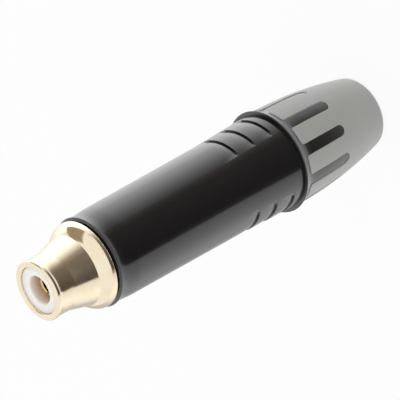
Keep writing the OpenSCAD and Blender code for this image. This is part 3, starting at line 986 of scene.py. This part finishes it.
class SOCKET_OT_inner_parts(bpy.types.Operator):
    """Gives the solids that stay as they are their finishes"""

    bl_idname = "socket.inner_parts"
    bl_label = "Inner parts"

    def execute(self, context):
        colours = context.scene.socket_colours
        worn = shade(colours.contact, 0.93)
        finishes = {
            "centre_contact": gold_plate("Contact gold plating", colours.contact, worn),
            "rear_washer": plain_moulding("Brown laminated washer", colours.washer, roughness=0.5),
            "earth_lug": tin_plate(colours),
            "liner": plain_moulding("Natural nylon", colours.nylon, roughness=0.42),
            "chuck": plain_moulding("Black nylon", colours.chuck, roughness=0.4),
        }
        for name, material in finishes.items():
            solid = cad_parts[name]
            solid.data.materials.clear()
            solid.data.materials.append(material)
            smooth(solid, degrees=25)
        return {"FINISHED"}


# Stage

# The camera's place in mm, its turn in degrees, and its lens in mm for a sensor 36 mm wide
CAMERA_PLACE = (59.216, -246.562, 209.234)
CAMERA_TURN = (-34.87989, 45.61059, -120.7892)
CAMERA_LENS = 207.0
CAMERA_SENSOR = 36.0

FLOOR_RADIUS = 4.0
FLOOR_GAP = 0.05

# The studio. Angles are degrees round from the camera, whose azimuth comes first. Heights are those of
# directions of length 1, from -1 straight down to 1 straight up.
CAMERA_AZIMUTH = -76.5
PLAIN_LEVEL = 1.03
PAPER = (1.0, 1.0, 1.0, 1.0)
# How bright the ring of cards is by its angle. Where it is darker than BLACK_CARD_LEVEL it is tinted.
CARD_LEVELS = (
    (-178, 0.6), (-140, 0.6), (-115, 1.05), (-95, 1.15), (-60, 0.94), (-53, 0.92), (-48, 0.06), (0, 0.125),
    (30, 0.17), (44, 0.3), (56, 0.75), (68, 1.15), (88, 1.7), (118, 1.8), (150, 1.1), (178, 0.7),
)
BLACK_CARD_LEVEL = 0.5
BLACK_CARD_TINT = (1.12, 1.0, 0.88, 1.0)
# The ring's lower edge, and its upper edge, which rises between two angles
CARD_FOOT = -0.77
CARD_FOOT_BLUR = 0.01
CARD_TOPS = (0.045, 0.36)
CARD_TOP_ANGLES = (45.0, 75.0)
CARD_TOP_BLUR = 0.02
# The small brown card: the angles and the heights that it lies between
SMALL_CARD_ANGLES = (68.0, 118.0)
SMALL_CARD_HEIGHTS = (0.05, 0.8)
SMALL_CARD_BLUR = 0.03
SMALL_CARD = (0.34, 0.29, 0.21, 1.0)


class SOCKET_OT_stage(bpy.types.Operator):
    """Sets the pale floor, the soft studio light and the camera"""

    bl_idname = "socket.stage"
    bl_label = "Stage"

    def execute(self, context):
        self.floor()
        self.studio(context)
        self.camera(context)
        return {"FINISHED"}

    def floor(self):
        """A pale floor that shows to the camera with a faint shadow. Reflections and bounced light pass
        through it, as if it were a sheet of glass in a white tent."""
        deselect()
        bpy.ops.mesh.primitive_circle_add(
            vertices=96, radius=FLOOR_RADIUS, fill_type="NGON", location=(0, 0, -FLOOR_GAP * MM)
        )
        floor = bpy.context.object
        floor.name = "floor"
        material, tree, _ = new_material("Pale floor")
        seen = add(tree, "LightPath").outputs["Is Camera Ray"]
        paper = add(tree, "BsdfDiffuse", {"Color": linear("F3F3F3")})
        glow = add(tree, "Emission", {"Color": linear("FFFFFF"), "Strength": 1.0})
        pale = add(tree, "MixShader", {0: 0.9, 1: paper, 2: glow})
        clear = add(tree, "BsdfTransparent")
        add(tree, "OutputMaterial", {"Surface": add(tree, "MixShader", {0: seen, 1: clear, 2: pale})})
        floor.data.materials.append(material)

    def studio(self, context):
        """A white backdrop all round, and the cards that stand before it. A ring of them goes round the
        camera: black in front, with a sharp edge on the left, and a gradual one on the right that ends
        in a soft box. A small brown card stands above the soft box. The camera looks past them all."""
        world = bpy.data.worlds.new("Studio tent")
        context.scene.world = world
        world.use_nodes = True
        tree = world.node_tree
        tree.nodes.clear()
        direction = add(tree, "TexCoord").outputs["Generated"]
        facing = add(tree, "VectorRotate", {
            "Vector": direction, "Angle": math.radians(-CAMERA_AZIMUTH),
        }, rotation_type="Z_AXIS")
        parts = add(tree, "SeparateXYZ", {0: facing}).outputs
        azimuth = add(tree, "Math", {0: parts["Y"], 1: parts["X"]}, operation="ARCTAN2")

        turn_share = add(tree, "MapRange", {"Value": azimuth, "From Min": -math.pi, "From Max": math.pi})
        ring = add(tree, "ValToRGB", {"Fac": turn_share})
        stops = ring.color_ramp.elements
        for degrees, level in CARD_LEVELS:
            stop = stops.new(0.5 + degrees / 360)
            stop.color = [level * part for part in (BLACK_CARD_TINT if level < BLACK_CARD_LEVEL else PAPER)]
        stops.remove(stops[0])
        stops.remove(stops[-1])

        top = add(tree, "MapRange", {
            "Value": azimuth,
            "From Min": math.radians(CARD_TOP_ANGLES[0]), "From Max": math.radians(CARD_TOP_ANGLES[1]),
            "To Min": CARD_TOPS[0], "To Max": CARD_TOPS[1],
        })
        over = add(tree, "Math", {0: parts["Z"], 1: top}, operation="SUBTRACT")
        foot = add(tree, "MapRange", {
            "Value": parts["Z"],
            "From Min": CARD_FOOT - CARD_FOOT_BLUR, "From Max": CARD_FOOT + CARD_FOOT_BLUR,
        })
        cards = add(tree, "MapRange", {
            "Value": over,
            "From Min": -CARD_TOP_BLUR, "From Max": CARD_TOP_BLUR, "To Min": foot, "To Max": 0.0,
        })
        angles = [math.radians(angle) for angle in SMALL_CARD_ANGLES]
        small = between(tree, azimuth, *angles, SMALL_CARD_BLUR, 1.0)
        small = between(tree, parts["Z"], *SMALL_CARD_HEIGHTS, SMALL_CARD_BLUR, small)

        path = add(tree, "LightPath").outputs
        seen = path["Is Camera Ray"]
        mirrored = add(tree, "Math", {0: seen, 1: path["Is Glossy Ray"]}, operation="MAXIMUM")
        mirrored = add(tree, "Math", {0: mirrored, 1: path["Is Transmission Ray"]}, operation="MAXIMUM")
        light = add(tree, "MapRange", {"Value": mirrored, "To Min": PLAIN_LEVEL, "To Max": 1.0})
        for mask, card in ((cards, ring), (small, SMALL_CARD), (seen, PAPER)):
            light = add(tree, "Mix", {"Factor": mask, "A": light, "B": card}, data_type="RGBA")
        add(tree, "OutputWorld", {"Surface": add(tree, "Background", {"Color": light})})

    def camera(self, context):
        """A camera at the photograph's angle."""
        data = bpy.data.cameras.new("camera")
        data.lens = CAMERA_LENS
        data.sensor_width = CAMERA_SENSOR
        data.clip_start = 0.01
        data.clip_end = 20.0
        camera = bpy.data.objects.new("camera", data)
        context.scene.collection.objects.link(camera)
        camera.location = Vector(CAMERA_PLACE) * MM
        camera.rotation_euler = Euler([math.radians(a) for a in CAMERA_TURN], "XYZ")
        context.scene.camera = camera
        context.scene.view_settings.view_transform = "Standard"


class SOCKET_PT_panel(bpy.types.Panel):
    """Lists the pieces and the stage"""

    bl_idname = "SOCKET_PT_panel"
    bl_label = "Phono Socket"
    bl_space_type = "VIEW_3D"
    bl_region_type = "UI"
    bl_category = "Phono Socket"

    def draw(self, context):
        for operator in OPERATORS:
            self.layout.operator(operator.bl_idname)
        for group in ("socket_shell", "socket_jack", "socket_boot", "socket_colours"):
            box = self.layout.box()
            settings = getattr(context.scene, group)
            for key in settings.__annotations__:
                box.prop(settings, key)


OPERATORS = (SOCKET_OT_shell, SOCKET_OT_jack, SOCKET_OT_boot, SOCKET_OT_inner_parts, SOCKET_OT_stage)
GROUPS = {
    "socket_shell": ShellSizes,
    "socket_jack": JackSizes,
    "socket_boot": BootSizes,
    "socket_colours": FinishColours,
}


def register():
    for item in (*GROUPS.values(), *OPERATORS, SOCKET_PT_panel):
        bpy.utils.register_class(item)
    for name, group in GROUPS.items():
        setattr(bpy.types.Scene, name, bpy.props.PointerProperty(type=group))


def unregister():
    for name in GROUPS:
        delattr(bpy.types.Scene, name)
    for item in reversed((*GROUPS.values(), *OPERATORS, SOCKET_PT_panel)):
        bpy.utils.unregister_class(item)


def main():
    register()
    bpy.ops.socket.shell()
    bpy.ops.socket.jack()
    bpy.ops.socket.boot()
    bpy.ops.socket.inner_parts()
    bpy.ops.socket.stage()


if __name__ == "__main__":
    main()
